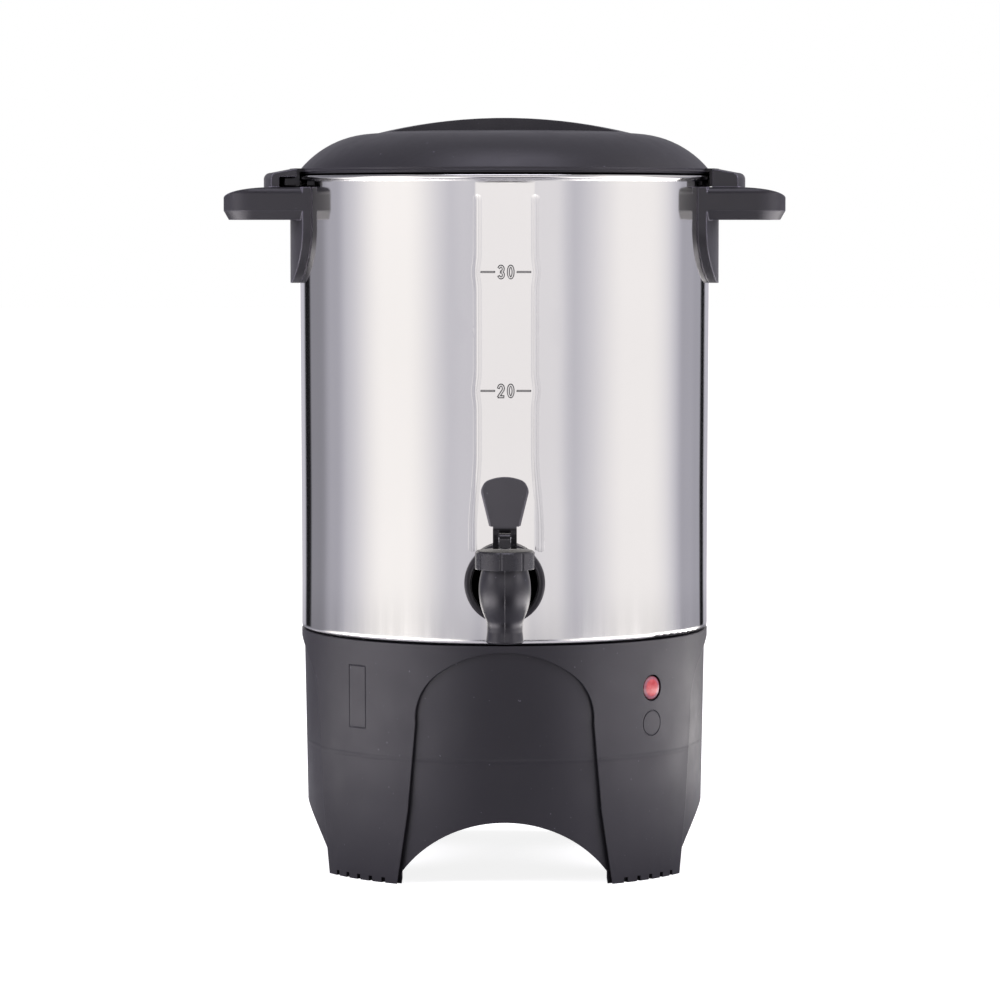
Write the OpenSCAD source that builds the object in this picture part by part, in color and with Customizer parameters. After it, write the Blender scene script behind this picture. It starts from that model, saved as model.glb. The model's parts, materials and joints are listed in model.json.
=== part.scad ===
// Coffee urn of the thirty-cup size: a metal vessel on a moulded base with four feet,
// a bayonet lid between two side handles, and a dispensing tap with a cam lever.
// Millimetres, +Z up, front towards -Y. The origin is on the vessel's axis at table height.

/* [Vessel] */
// Outer radius of the metal vessel at its lower edge
vessel_r = 94.7; // [90:0.1:100]
// Growth of that radius from the lower edge to the rim
vessel_flare = 0.9; // [0:0.1:3]
// Height of the vessel's lower edge above the table
vessel_z = 109.4; // [100:0.1:120]
// Height of the rolled rim's top above the table
rim_z = 318.9; // [300:0.1:340]
// Sheet thickness of the vessel
sheet = 0.8; // [0.6:0.1:1.2]
// Radius of the rolled bead on the rim
bead_r = 1.15; // [0.8:0.05:1.5]
// Upper radius of the heating well in the vessel's floor
well_r = 38; // [34:0.5:44]
// Depth of the heating well
well_depth = 10; // [6:0.5:14]

/* [Base] */
// Outer radius of the skirt at the feet
skirt_r_foot = 93.7; // [92:0.1:95]
// Outer radius of the skirt under the vessel
skirt_r_top = 94.6; // [93:0.1:96]
// Height of the skirt
skirt_h = 109; // [100:0.1:120]
// Radius of the arch cut between two feet
arch_r = 56.6; // [50:0.1:62]
// Height of the arch's crown above the table
arch_top = 29.4; // [20:0.1:34]
// Half the distance between two feet at the table
foot_gap_half = 46.4; // [42:0.1:50]
// Height of the recessed arch panel's crown
panel_top = 106.1; // [100:0.1:108]
// Half the width of the recessed panel at mid height
panel_half = 40.2; // [36:0.1:44]

/* [Lid] */
// Outer radius of the lid's edge
lid_r = 95.3; // [94:0.1:97]
// Height of the lid's lower edge
lid_z = 320.6; // [319:0.1:323]
// Radius of the lid's rounded shoulder
shoulder_r = 45; // [40:0.5:50]
// Wall thickness of the lid
lid_wall = 2.6; // [2:0.1:3.5]
// Height of the grip bar's top
grip_z = 345.8; // [342:0.1:350]
// Depth of the two finger scoops below the shoulder
scoop_depth = 14; // [10:0.5:16]
// Half the width of the grip bar at its waist
grip_half = 12; // [10:0.5:16]
// Half the angle that each bayonet ear covers
ear_half_angle = 15.5; // [10:0.5:18]

/* [Side handles] */
// Reach of each side handle from the vessel's axis
handle_reach = 129; // [125:0.5:135]
// Height of the grip's underside
handle_z = 298.6; // [290:0.1:302]
// Height of the grip's top face
handle_top = 313.6; // [308:0.1:315]
// Height of the mounting shield's lower edge
shield_z = 269.5; // [260:0.1:280]
// Half the width of the mounting shield
shield_half = 37.4; // [34:0.1:42]
// Half the distance across the two arms of the loop
arm_half = 37.4; // [32:0.1:40]
// Thickness of the loop
loop_w = 10; // [9:0.1:13]

/* [Tap] */
// Distance of the tap's barrel from the vessel's axis
tap_reach = 130; // [124:0.5:136]
// Height of the tap's shank
shank_z = 137.5; // [130:0.1:142]
// Height of the spout's mouth
spout_z = 114.2; // [112:0.1:118]
// Outer radius of the spout at its neck
spout_r = 7.75; // [6.5:0.05:8.5]
// Largest outer radius of the barrel
barrel_r = 11.4; // [10:0.05:12]
// Radius of the bonnet nut
bonnet_r = 13; // [12:0.1:14]
// Height of the bonnet nut's top face
bonnet_top = 155.4; // [152:0.1:158]
// Height of the lever's top above its pin
lever_len = 27.6; // [22:0.1:32]
// Lift of the stem for each radian that the lever turns
cam_rise = 2.4; // [2:0.1:3.2]
// Distance from the pin to the flat foot of the lever
cam_foot = 3.8; // [3.2:0.1:4.6]

/* [Percolator] */
// Radius of the coffee basket
basket_r = 57.5; // [50:0.5:65]
// Height of the basket's floor
basket_z = 238; // [225:1:250]
// Depth of the basket
basket_h = 58; // [45:1:62]
// Outer radius of the pump tube
tube_r = 5.2; // [4:0.1:6.5]

/* [Hidden] */
$fn = 64;

charcoal = [0.17, 0.17, 0.18];
satin_black = [0.10, 0.10, 0.11];
steel = [0.80, 0.80, 0.82];
zinc = [0.66, 0.67, 0.68];
silicone = [0.30, 0.30, 0.31];

eps = 0.01;
play = 0.05;

// Vessel
rim_r = vessel_r + vessel_flare;
wall_h = rim_z - bead_r - vessel_z;
floor_t = 1.0;
well_z = vessel_z - well_depth;
well_foot_r = 31;
edge_round = 2.2;
panel_width = 26.4;
panel_foot_z = 152;
panel_head_z = 316;

// Base
panel_r_foot = 91.4;
panel_r_top = 93.4;
skirt_in_foot = 89.0;
skirt_in_top = 91.2;
crown_r = 50;
haunch_r = 26;
panel_foot_half = 48.7;
panel_shin = [43.6, 33.5];
haunch_lean = 4.8;
web = 2.4;
web_in = 78;
foot_t = 3;
ledge_t = 2.6;
ledge_in = 80;
seat_w = 3.5;
clamp_t = 1.5;
clamp_r = [62, 88];
clamp_z = skirt_h - ledge_t - clamp_t;
screw_post_r = 85.6;
post_z = 33.5;
post_top = 58;
cover_z = 31.8;
cover_t = post_z - cover_z;
notch_step = 4.6;
stud_circle = 70;
lamp_z = 87.4;
lamp_r = 5.9;
lamp_seat = 86.5;
lens_r = 5.35;
lens_step = 6.4;
lens_edge = 8.9;
lens_rise = 0.8;
lens_dome_r = (lens_r * lens_r + lens_rise * lens_rise) / (2 * lens_rise);
ring_z = 71.4;
inlet_z = 66;
pin_pitch = 17.5;
inlet_face = 93.4;

// Lid
dome_c = [60, lid_z + 17.8 - shoulder_r];
dome_top = dome_c[1] + shoulder_r;
grip_rise = grip_z - dome_top;
grip_r = (dome_c[0] * dome_c[0] + grip_rise * grip_rise) / (2 * grip_rise);
scoop_floor = dome_top - scoop_depth;
scoop_r = 57.5;
scoop_fillet = 7;
waist_r = 140;
plug_r = 92.4;
plug_t = 2.5;
plug_z = 311.2;
ear_z = 314.3;
ear_t = 3.4;
ear_leg = [97.4, 99.7];
ear_r = 104.5;

// Percolator
basket_t = 1;
basket_lip = 52;
strainer_r = 1;

// Side handles
hook_in = 100.4;
hook_wall = [108.1, 111.7];
hook_roof = [318.3, 321.9];
hook_drop = 1.6;
hook_round = 3;
hook_half = 33;
hook_end = 3.5;
deck_t = 4;
shield_r = 99.5;
shield_corner = 26;
handle_screw_angle = 10.5;
handle_screw_z = 305.4;
loop_bend = 3.6;
toe = [2.4, 4.2];
brow = [4, 3.4];
slope = [24, 5.3];

// Tap
tap_y = -tap_reach;
gasket_r = 18;
gasket_face = 98.2;
gasket_lip = 1.5;
flange_r = 14.6;
flange_t = 2.2;
shank_r = 7.9;
shank_in = 76;
bore_r = 4.6;
chamber_r = 8.6;
seat_r = 4.4;
seat_z = 127.5;
chamber_z = 134;
barrel_top = 152.4;
bulge_r = 29;
neck_z = 121;
mouth_r = 8.2;
bonnet_z = 146.7;
thread_r = 10.3;
groove_turn = 37;
cup_flange_t = 1.0;
stem_r = 2.6;
cam_play = 0.1;
pin_z = bonnet_top + cam_foot + cam_play;
pin_r = 1.25;
cheek = [2.65, 5.2];
tang_half = 2.5;
lever_turn = 75;
slot_top = 4.4;
paddle_z = 6.1;
paddle_half = 10;
paddle_corner = 4.6;
paddle_brow = 5.65;
paddle_lean = 13.8;
rim_step = [0.4, 0.9];

// Places a shape on each of the base's four equal sides.
module each_side() {
    for (turn = [0 : 90 : 270]) rotate([0, 0, turn]) children();
}

// Lays a shape drawn in x and z into the front wall, from one distance to another.
module through_front(near, far) {
    translate([0, -near, 0]) rotate([90, 0, 0]) linear_extrude(far - near) children();
}

// A plain ring between two radii.
module ring(inner, outer, z, h) {
    translate([0, 0, z]) difference() {
        cylinder(r = outer, h = h);
        translate([0, 0, -1]) cylinder(r = inner, h = h + 2);
    }
}

// The space that the vessel's outer face fills, grown by a gap.
module vessel_space(gap) {
    translate([0, 0, vessel_z])
        cylinder(r1 = vessel_r + gap, r2 = rim_r + gap, h = wall_h, $fn = 360);
}

// ---- base ----

// Three-centred arch of the recessed panel, with legs that spread towards the feet.
module panel_outline() {
    haunch_x = panel_half - haunch_r;
    crown_z = panel_top - crown_r;
    haunch_z = crown_z + sqrt(pow(crown_r - haunch_r, 2) - haunch_x * haunch_x);
    reach = 1.2 * crown_r / (crown_r - haunch_r);
    wedge = [haunch_x * reach, crown_z + (haunch_z - crown_z) * reach];
    knee = [haunch_x + haunch_r * cos(haunch_lean), haunch_z - haunch_r * sin(haunch_lean)];
    intersection() {
        translate([0, crown_z]) circle(r = crown_r);
        polygon([[0, crown_z], wedge, [0, 130], [-wedge[0], wedge[1]]]);
    }
    for (side = [-1, 1]) {
        translate([side * haunch_x, haunch_z]) circle(r = haunch_r);
        polygon([[side * knee[0], knee[1]], [side * panel_shin[0], panel_shin[1]],
                 [side * panel_foot_half, -1], [0, -1], [0, crown_z + 0.6 * crown_r],
                 [side * haunch_x, haunch_z]]);
    }
}

// Opening between two feet: a flat arc that ends in upright sides.
module arch_outline(grow) {
    intersection() {
        translate([0, arch_top - arch_r]) circle(r = arch_r + grow);
        translate([-foot_gap_half - grow, -1]) square([2 * (foot_gap_half + grow), 60]);
    }
}

module skirt_wall() {
    difference() {
        cylinder(r1 = skirt_r_foot, r2 = skirt_r_top, h = skirt_h);
        translate([0, 0, -eps]) cylinder(r1 = skirt_in_foot, r2 = skirt_in_top, h = skirt_h + 1);
        each_side() difference() {
            through_front(70, 100) panel_outline();
            translate([0, 0, -2]) cylinder(r1 = panel_r_foot, r2 = panel_r_top, h = skirt_h + 2);
        }
    }
}

// Flanges that turn inwards along each arch, and the sole of each foot.
module foot_webs() {
    each_side() intersection() {
        ring(web_in, skirt_in_foot + 1, 0, arch_top + web);
        through_front(60, 100) arch_outline(web);
    }
    ring(web_in, skirt_in_foot + 1, 0, foot_t);
}

module foot_notches() {
    for (foot = [45 : 90 : 315], step = [-2 : 2])
        rotate([0, 0, foot + step * notch_step])
            translate([91.8, -1.1, -1]) cube([4, 2.2, 3.4]);
}

// Ledge at the top of the skirt, with the narrow seat that the vessel stands on.
module ledge() {
    ring(ledge_in, skirt_in_top + 0.5, skirt_h - ledge_t, ledge_t);
    ring(ledge_in, ledge_in + seat_w, skirt_h - eps, vessel_z - skirt_h + eps);
}

module screw_posts() {
    for (post = [45 : 90 : 315]) rotate([0, 0, post]) {
        translate([screw_post_r, 0, post_z]) cylinder(r = 4.4, h = post_top - post_z);
        translate([screw_post_r, -1.2, post_z]) cube([5.2, 2.4, post_top - post_z + 6]);
    }
}

module lamp_place() {
    rotate([0, 0, -45]) translate([0, 0, lamp_z]) rotate([0, 90, 0]) children();
}

// Faint ring under the lamp and faint oblong on the other front leg, where no fitting is placed.
module blank_marks() {
    rotate([0, 0, -45]) translate([93.9, 0, ring_z]) rotate([0, 90, 0]) difference() {
        cylinder(r = 5.9, h = 3);
        translate([0, 0, -1]) cylinder(r = 5.4, h = 5);
    }
    rotate([0, 0, -135]) translate([93.95, 0, 83.5]) difference() {
        translate([0, -5.5, -14.3]) cube([3, 11, 28.6]);
        translate([-1, -5.1, -13.9]) cube([5, 10.2, 27.8]);
    }
}

module base_skirt() {
    color(charcoal) difference() {
        union() {
            skirt_wall();
            foot_webs();
            ledge();
            screw_posts();
            lamp_place() translate([0, 0, lamp_seat]) difference() {
                cylinder(r = 9, h = 5.5);
                translate([0, 0, -1]) cylinder(r = 7.2, h = 3);
            }
            translate([-22, 84, inlet_z - 14.5]) cube([44, inlet_face - 84, 29]);
        }
        each_side() through_front(60, 100) arch_outline(0);
        foot_notches();
        for (post = [45 : 90 : 315]) rotate([0, 0, post]) {
            translate([screw_post_r, 0, -1]) cylinder(r = 4.2, h = foot_t + 2);
            translate([screw_post_r, 0, post_z - 1]) cylinder(r = 1.8, h = 18);
        }
        lamp_place() translate([0, 0, lamp_seat - 1]) cylinder(r = lamp_r + play, h = 12);
        translate([-16.1, 80, inlet_z - 9.6]) cube([32.2, 20, 19.2]);
        blank_marks();
    }
}

// Pressed ring under the ledge; the studs' nuts draw it up and hold the skirt to the vessel.
module clamp_ring() {
    color(zinc) difference() {
        union() {
            ring(clamp_r[0], clamp_r[1], clamp_z, clamp_t);
            ring(clamp_r[0], clamp_r[0] + clamp_t, clamp_z - 4, 4 + eps);
        }
        stud_places() translate([0, 0, clamp_z - 1]) cylinder(r = 2.8, h = clamp_t + 2);
    }
}

module bottom_cover() {
    color(satin_black) difference() {
        translate([0, 0, cover_z]) cylinder(r = 89.2, h = cover_t);
        for (turn = [0 : 30 : 330]) rotate([0, 0, turn])
            translate([40, -2, cover_z - 1]) cube([18, 4, cover_t + 2]);
        for (post = [45 : 90 : 315]) rotate([0, 0, post])
            translate([screw_post_r, 0, cover_z - 1]) cylinder(r = 2, h = cover_t + 2);
    }
}

module cover_screws() {
    color(zinc) for (post = [45 : 90 : 315]) rotate([0, 0, post])
        translate([screw_post_r, 0, cover_z]) {
            translate([0, 0, -2.2]) cylinder(r = 3.6, h = 2.2);
            cylinder(r = 1.75, h = 16);
        }
}

// Two-pin appliance inlet in a pad on the rear wall; its socket opens to the rear.
module inlet_housing() {
    color(satin_black) difference() {
        union() {
            translate([-20, inlet_face, inlet_z - 13]) cube([40, 1.6, 26]);
            translate([-16, 71, inlet_z - 9.5]) cube([32, inlet_face - 71 + 1, 19]);
        }
        socket_slot(15, 76, 100, 7);
        for (side = [-1, 1]) translate([side * pin_pitch / 2, 60, inlet_z])
            rotate([-90, 0, 0]) cylinder(r = 2.3, h = 30);
    }
}

// Slot with round ends along y, made of a block and two cylinders.
module socket_slot(half, near, far, r) {
    translate([-(half - r), near, inlet_z - r]) cube([2 * (half - r), far - near, 2 * r]);
    for (side = [-1, 1]) translate([side * (half - r), near, inlet_z])
        rotate([-90, 0, 0]) cylinder(r = r, h = far - near);
}

module inlet_pins() {
    color(zinc) for (side = [-1, 1]) translate([side * pin_pitch / 2, 66, inlet_z]) {
        rotate([-90, 0, 0]) cylinder(r = 2.3, h = 23.5);
        translate([0, 23.5, 0]) sphere(r = 2.3);
    }
}

module lamp_lens() {
    color([0.75, 0.06, 0.05]) lamp_place() {
        translate([0, 0, lamp_seat - 1.5]) difference() {
            union() {
                cylinder(r = 7.1, h = 1.5);
                cylinder(r = lamp_r, h = lens_step);
                cylinder(r = lens_r, h = lens_edge);
                intersection() {
                    translate([0, 0, lens_edge + lens_rise - lens_dome_r]) sphere(r = lens_dome_r);
                    translate([0, 0, lens_edge - 1]) cylinder(r = lens_r, h = 1 + lens_rise);
                }
            }
            translate([0, 0, -1]) cylinder(r = 4.2, h = lens_step + 1);
        }
    }
}

module lamp_body() {
    color(satin_black) lamp_place() translate([0, 0, lamp_seat - 15]) {
        cylinder(r = 4.1, h = 19);
        cylinder(r = 6.5, h = 13.5);
    }
}

// ---- vessel and heating ----

// Section that the vessel's outer face encloses, with the rounded lower edge.
module vessel_outside() {
    polygon([[0, well_z], [well_foot_r, well_z], [well_r, vessel_z],
             [vessel_r - edge_round, vessel_z], [vessel_r, vessel_z + edge_round],
             [rim_r, rim_z - bead_r], [0, rim_z - bead_r]]);
    translate([vessel_r - edge_round, vessel_z + edge_round]) circle(r = edge_round);
}

// Section of the space inside it.
module vessel_inside() {
    inner_r = vessel_r - sheet;
    polygon([[0, well_z + floor_t], [well_foot_r + 0.6, well_z + floor_t],
             [well_r + 0.6, vessel_z + floor_t], [inner_r - 1.6, vessel_z + floor_t],
             [inner_r, vessel_z + floor_t + 1.6], [rim_r - sheet, rim_z - bead_r],
             [rim_r - sheet, rim_z], [0, rim_z]]);
}

// Slab behind the flat fill panel, in front of a distance from the axis; it leans with the wall.
module panel_slab(near, far) {
    lean = atan(vessel_flare / wall_h);
    half = panel_width / 2;
    translate([0, 0, panel_foot_z]) rotate([lean, 0, 0])
        translate([-half, -far, 0]) cube([2 * half, far - near, panel_head_z - panel_foot_z]);
}

module vessel() {
    foot_r = vessel_r + vessel_flare * (panel_foot_z - vessel_z) / wall_h;
    panel_y = sqrt(foot_r * foot_r - panel_width * panel_width / 4);
    color(steel) difference() {
        union() {
            rotate_extrude() {
                difference() {
                    vessel_outside();
                    vessel_inside();
                }
                translate([rim_r + 0.25, rim_z - bead_r]) circle(r = bead_r);
            }
            intersection() {
                rotate_extrude() vessel_outside();
                panel_slab(panel_y - sheet, panel_y + 0.5);
            }
        }
        panel_slab(panel_y, panel_y + 5);
        translate([0, -80, shank_z]) rotate([90, 0, 0]) cylinder(r = shank_r + 0.4, h = 30);
        handle_screw_places() translate([0, 0, 88]) cylinder(r = 2.2, h = 12);
    }
}

module stud_places() {
    for (turn = [30 : 120 : 270]) rotate([0, 0, turn]) translate([stud_circle, 0, 0]) children();
}

module vessel_studs() {
    color(zinc) stud_places() translate([0, 0, clamp_z - 6]) cylinder(r = 2.45, h = vessel_z - clamp_z + 6);
}

module deck_nuts() {
    color(zinc) stud_places() translate([0, 0, clamp_z - 4.8]) difference() {
        union() {
            cylinder(r = 4.6, h = 3.8, $fn = 6);
            translate([0, 0, 3.8]) cylinder(r = 5.5, h = 1);
        }
        translate([0, 0, -1]) cylinder(r = 2.5, h = 8);
    }
}

// Cast plate under the well with its sheathed element and two cold ends.
module boil_heater() {
    color([0.72, 0.72, 0.72]) {
        translate([0, 0, well_z - 7]) cylinder(r = 30, h = 7);
        translate([0, 0, well_z - 8]) rotate_extrude() translate([24, 0]) circle(r = 4);
        for (side = [-1, 1]) translate([24, side * 6, well_z - 24]) cylinder(r = 2, h = 15);
    }
}

module warm_heater() {
    color([0.70, 0.62, 0.45]) ring(47, 60, vessel_z - 2.5, 2.5);
}

module thermostat() {
    color(satin_black) {
        translate([0, 0, well_z - 16]) cylinder(r = 8.5, h = 9);
        for (side = [-1, 1]) translate([side * 5 - 0.4, -3.2, well_z - 27]) cube([0.8, 6.4, 11.5]);
    }
}

module thermal_fuse() {
    color(zinc) translate([-6, 14, well_z - 9.1]) rotate([0, 90, 0]) cylinder(r = 2, h = 12);
}

// Strap that holds the fuse against the cast plate, with its screw.
module sensor_bracket() {
    color(zinc) {
        difference() {
            translate([-3, 11, well_z - 12]) cube([6, 6, 5]);
            translate([-7, 14, well_z - 9.1]) rotate([0, 90, 0]) cylinder(r = 2 + play, h = 14);
            translate([-4, 11.95, well_z - 9.1]) cube([8, 4.1, 3]);
        }
        translate([-3, 17 - eps, well_z - 8]) cube([6, 2.2, 1]);
    }
}

// ---- side handles ----

// Rows of screw axes, laid along the x axis of each handle, pointing outwards.
module handle_screw_places() {
    for (turn = [0, 180], side = [-1, 1])
        rotate([0, 0, turn + side * handle_screw_angle])
            translate([0, 0, handle_screw_z]) rotate([0, 90, 0]) children();
}

// Section of the loop: it is rounded along its outer top edge and falls away under the hand.
module loop_section() {
    h = handle_top - handle_z;
    nick = 1.2;
    polygon([[nick, 0], [loop_w - toe[0], 0], [loop_w, toe[1]], [loop_w, h - brow[1]],
             [loop_w - brow[0], h], [nick, h], [0, h - nick], [0, nick]]);
    translate([loop_w - brow[0], h - brow[1]]) scale(brow) circle(r = 1);
}

// Loop of the grip: two arms and an outer bar with the same section, joined by quarter bends.
module loop() {
    inner_half = arm_half - loop_w;
    bend_x = handle_reach - loop_w - loop_bend;
    translate([0, 0, handle_z]) {
        for (side = [-1, 1]) {
            translate([90, side * inner_half, 0]) mirror([0, side < 0 ? 1 : 0, 0])
                rotate([90, 0, 90]) linear_extrude(bend_x - 90) loop_section();
            translate([bend_x, side * (inner_half - loop_bend), 0])
                mirror([0, side < 0 ? 1 : 0, 0])
                    rotate_extrude(angle = 90) translate([loop_bend, 0]) loop_section();
        }
        translate([bend_x + loop_bend, inner_half - loop_bend, 0]) rotate([90, 0, 0])
            linear_extrude(2 * (inner_half - loop_bend)) loop_section();
    }
}

// Side view of the loop: level over the vessel's edge, then falling in a long curve.
module loop_profile() {
    start = handle_reach - slope[0];
    translate([80, handle_z]) square([start - 80, handle_top - handle_z]);
    translate([80, handle_z]) square([handle_reach - 80, handle_top - slope[1] - handle_z]);
    translate([start, handle_top - slope[1]]) scale(slope) circle(r = 1);
}

// Shield that hugs the vessel: upright sides and large lower corners.
module shield() {
    flat = shield_half - shield_corner;
    intersection() {
        cylinder(r = shield_r, h = handle_top);
        translate([80, 0, 0]) rotate([90, 0, 90]) linear_extrude(30) {
            translate([-shield_half, shield_z + shield_corner])
                square([2 * shield_half, handle_top - shield_z - shield_corner]);
            translate([-flat, shield_z]) square([2 * flat, shield_corner + 1]);
            for (side = [-1, 1]) translate([side * flat, shield_z + shield_corner])
                circle(r = shield_corner);
        }
    }
}

// Section of the bayonet hook: an outer wall and a roof that falls outwards.
module hook_section() {
    corner = [hook_wall[1] - hook_round, hook_roof[1] - hook_drop - hook_round];
    polygon([[hook_in, handle_top - 2], [hook_wall[1], handle_top - 2],
             [hook_wall[1], corner[1]], [corner[0], corner[1] + hook_round],
             [hook_in, hook_roof[1]]]);
    translate(corner) circle(r = hook_round);
}

// Hook over the lid's ear, closed by a stop at one end.
module hook() {
    intersection() {
        difference() {
            rotate_extrude() hook_section();
            difference() {
                ring(hook_in - 1, hook_wall[0], handle_top, hook_roof[0] - handle_top);
                translate([80, -hook_half - 1, handle_top - 1])
                    cube([40, hook_end + 1, 10]);
            }
        }
        translate([80, -hook_half, handle_top - 5]) cube([40, 2 * hook_half, 20]);
    }
}

// Plate that joins the two arms under the hook.
module deck_plate() {
    half = arm_half - brow[0];
    intersection() {
        cylinder(r = hook_wall[1], h = handle_top);
        translate([80, -half, handle_top - deck_t]) cube([40, 2 * half, deck_t]);
    }
}

module handle() {
    difference() {
        union() {
            shield();
            intersection() {
                union() {
                    loop();
                    deck_plate();
                }
                translate([0, arm_half + 1, 0]) rotate([90, 0, 0])
                    linear_extrude(2 * arm_half + 2) loop_profile();
            }
            hook();
            for (side = [-1, 1]) rotate([0, 0, side * handle_screw_angle])
                translate([90, 0, handle_screw_z]) rotate([0, 90, 0]) cylinder(r = 4.6, h = 17);
        }
        vessel_space(play);
        for (side = [-1, 1]) rotate([0, 0, side * handle_screw_angle])
            translate([90, 0, handle_screw_z]) rotate([0, 90, 0]) cylinder(r = 2, h = 17);
    }
}

module handle_right() {
    color(charcoal) handle();
}

module handle_left() {
    color(charcoal) rotate([0, 0, 180]) handle();
}

module handle_screws() {
    color(zinc) for (side = [-1, 1]) rotate([0, 0, side * handle_screw_angle])
        translate([0, 0, handle_screw_z]) rotate([0, 90, 0]) {
            translate([0, 0, rim_r - sheet - 3.6]) cylinder(r = 3.8, h = 2.4);
            translate([0, 0, rim_r - sheet - 1.2]) cylinder(r = 5, h = 1);
            translate([0, 0, rim_r - sheet - 1.2]) cylinder(r = 1.95, h = 12);
        }
}

module handle_screws_right() {
    handle_screws();
}

module handle_screws_left() {
    rotate([0, 0, 180]) handle_screws();
}

// ---- lid ----

// Half section of the domed top, lowered by a wall thickness for the hollow inside.
module dome_section(inset) {
    intersection() {
        translate(dome_c) circle(r = shoulder_r - inset);
        translate([dome_c[0], lid_z - 2]) square([60, 40]);
    }
    intersection() {
        translate([0, grip_z - grip_r]) circle(r = grip_r - inset);
        translate([0, lid_z - 2]) square([dome_c[0] + eps, 40]);
    }
}

// Half section of the round dish from which the grip bar is left standing.
module dish_section(grow) {
    r = scoop_fillet;
    z = scoop_floor - grow;
    translate([0, z]) square([scoop_r + grow - r, 40]);
    translate([0, z + r]) square([scoop_r + grow, 40]);
    translate([scoop_r + grow - r, z + r]) circle(r = r);
}

// Plan of the grip bar, waisted between two large arcs.
module grip_plan(half) {
    difference() {
        translate([-70, -40]) square([140, 80]);
        for (side = [-1, 1]) translate([0, side * (half + waist_r)]) circle(r = waist_r);
    }
}

module dish(grow, half) {
    difference() {
        rotate_extrude() dish_section(grow);
        translate([0, 0, scoop_floor - 10]) linear_extrude(60) grip_plan(half);
    }
}

// One ear of the bayonet: an upright leg outside the rim and a flange for the hook.
module ear() {
    rotate([0, 0, -ear_half_angle]) rotate_extrude(angle = 2 * ear_half_angle) {
        translate([93.6, lid_z]) square([ear_leg[1] - 93.6, 1.6]);
        translate([ear_leg[0], ear_z]) square([ear_leg[1] - ear_leg[0], lid_z + 1.6 - ear_z]);
        translate([ear_leg[0], ear_z]) square([ear_r - ear_leg[0], ear_t]);
    }
}

module lid() {
    color(satin_black) {
        difference() {
            union() {
                rotate_extrude() difference() {
                    dome_section(0);
                    translate([0, 0]) square([200, lid_z]);
                }
                ring(90, lid_r, lid_z, 1.6);
            }
            dish(0, grip_half);
            difference() {
                rotate_extrude() dome_section(lid_wall);
                dish(lid_wall, grip_half - lid_wall);
            }
        }
        ring(plug_r - plug_t, plug_r, plug_z, lid_z - plug_z + 2.5);
        ring(plug_r - 1, 95, rim_z - 0.05, lid_z - rim_z + 0.6);
        for (turn = [0, 180]) rotate([0, 0, turn]) ear();
    }
}

// ---- percolator ----

// Pump tube with a bell foot that stands in the heating well.
module pump_tube() {
    foot_z = well_z + floor_t;
    color(steel) rotate_extrude() polygon([
        [27, foot_z], [28, foot_z], [28, foot_z + 6], [12, foot_z + 15],
        [tube_r, foot_z + 19], [tube_r, basket_z - 2], [tube_r + 2.4, basket_z - 2],
        [tube_r + 2.4, basket_z], [tube_r, basket_z], [tube_r, 312], [tube_r - 1, 312],
        [tube_r - 1, foot_z + 18.4], [11.4, foot_z + 14], [27, foot_z + 5.3]]);
}

// Three rows of strainer holes.
module strainer_holes() {
    for (row = [1 : 3], step = [1 : 4 + 4 * row])
        rotate([0, 0, step * 360 / (4 + 4 * row)]) translate([4 + 13 * row, 0, 0]) children();
}

// Wall of the basket, with a rolled rim and a lip turned in under the coffee.
module basket() {
    floor_z = basket_z + basket_t;
    rim_top = basket_z + basket_h;
    color(steel) rotate_extrude() polygon([
        [basket_lip, floor_z], [basket_r - 2, floor_z], [basket_r, floor_z + 2],
        [basket_r, rim_top - 1.2], [basket_r + 2, rim_top - 1.2], [basket_r + 2, rim_top],
        [basket_r - basket_t, rim_top], [basket_r - basket_t, floor_z + 2.4],
        [basket_r - 2.4, floor_z + basket_t], [basket_lip, floor_z + basket_t]]);
}

// Perforated floor welded under that lip, with a collar that slides over the pump tube.
module basket_floor() {
    bore = tube_r + 0.4;
    color(steel) difference() {
        rotate_extrude() polygon([
            [bore, basket_z], [basket_lip + 3, basket_z], [basket_lip + 3, basket_z + basket_t],
            [bore + 2, basket_z + basket_t], [bore + basket_t, basket_z + 2],
            [bore + basket_t, basket_z + 4], [bore, basket_z + 4]]);
        strainer_holes() translate([0, 0, basket_z - 1]) cylinder(r = strainer_r, h = 3);
    }
}

// Spreader plate that lies on the basket's rim.
module basket_cover() {
    color(steel) difference() {
        union() {
            translate([0, 0, basket_z + basket_h]) cylinder(r = basket_r + 2, h = 1);
            translate([0, 0, basket_z + basket_h - 2.4]) cylinder(r = basket_r - 1.6, h = 3);
        }
        translate([0, 0, basket_z + basket_h - 5]) cylinder(r = basket_r - 2.6, h = 5);
        translate([0, 0, basket_z]) cylinder(r = tube_r + 0.5, h = 80);
        strainer_holes() translate([0, 0, basket_z + basket_h - 2])
            cylinder(r = strainer_r, h = 5);
    }
}

// ---- tap ----

module shank_axis() {
    translate([0, 0, shank_z]) rotate([90, 0, 0]) children();
}

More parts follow.
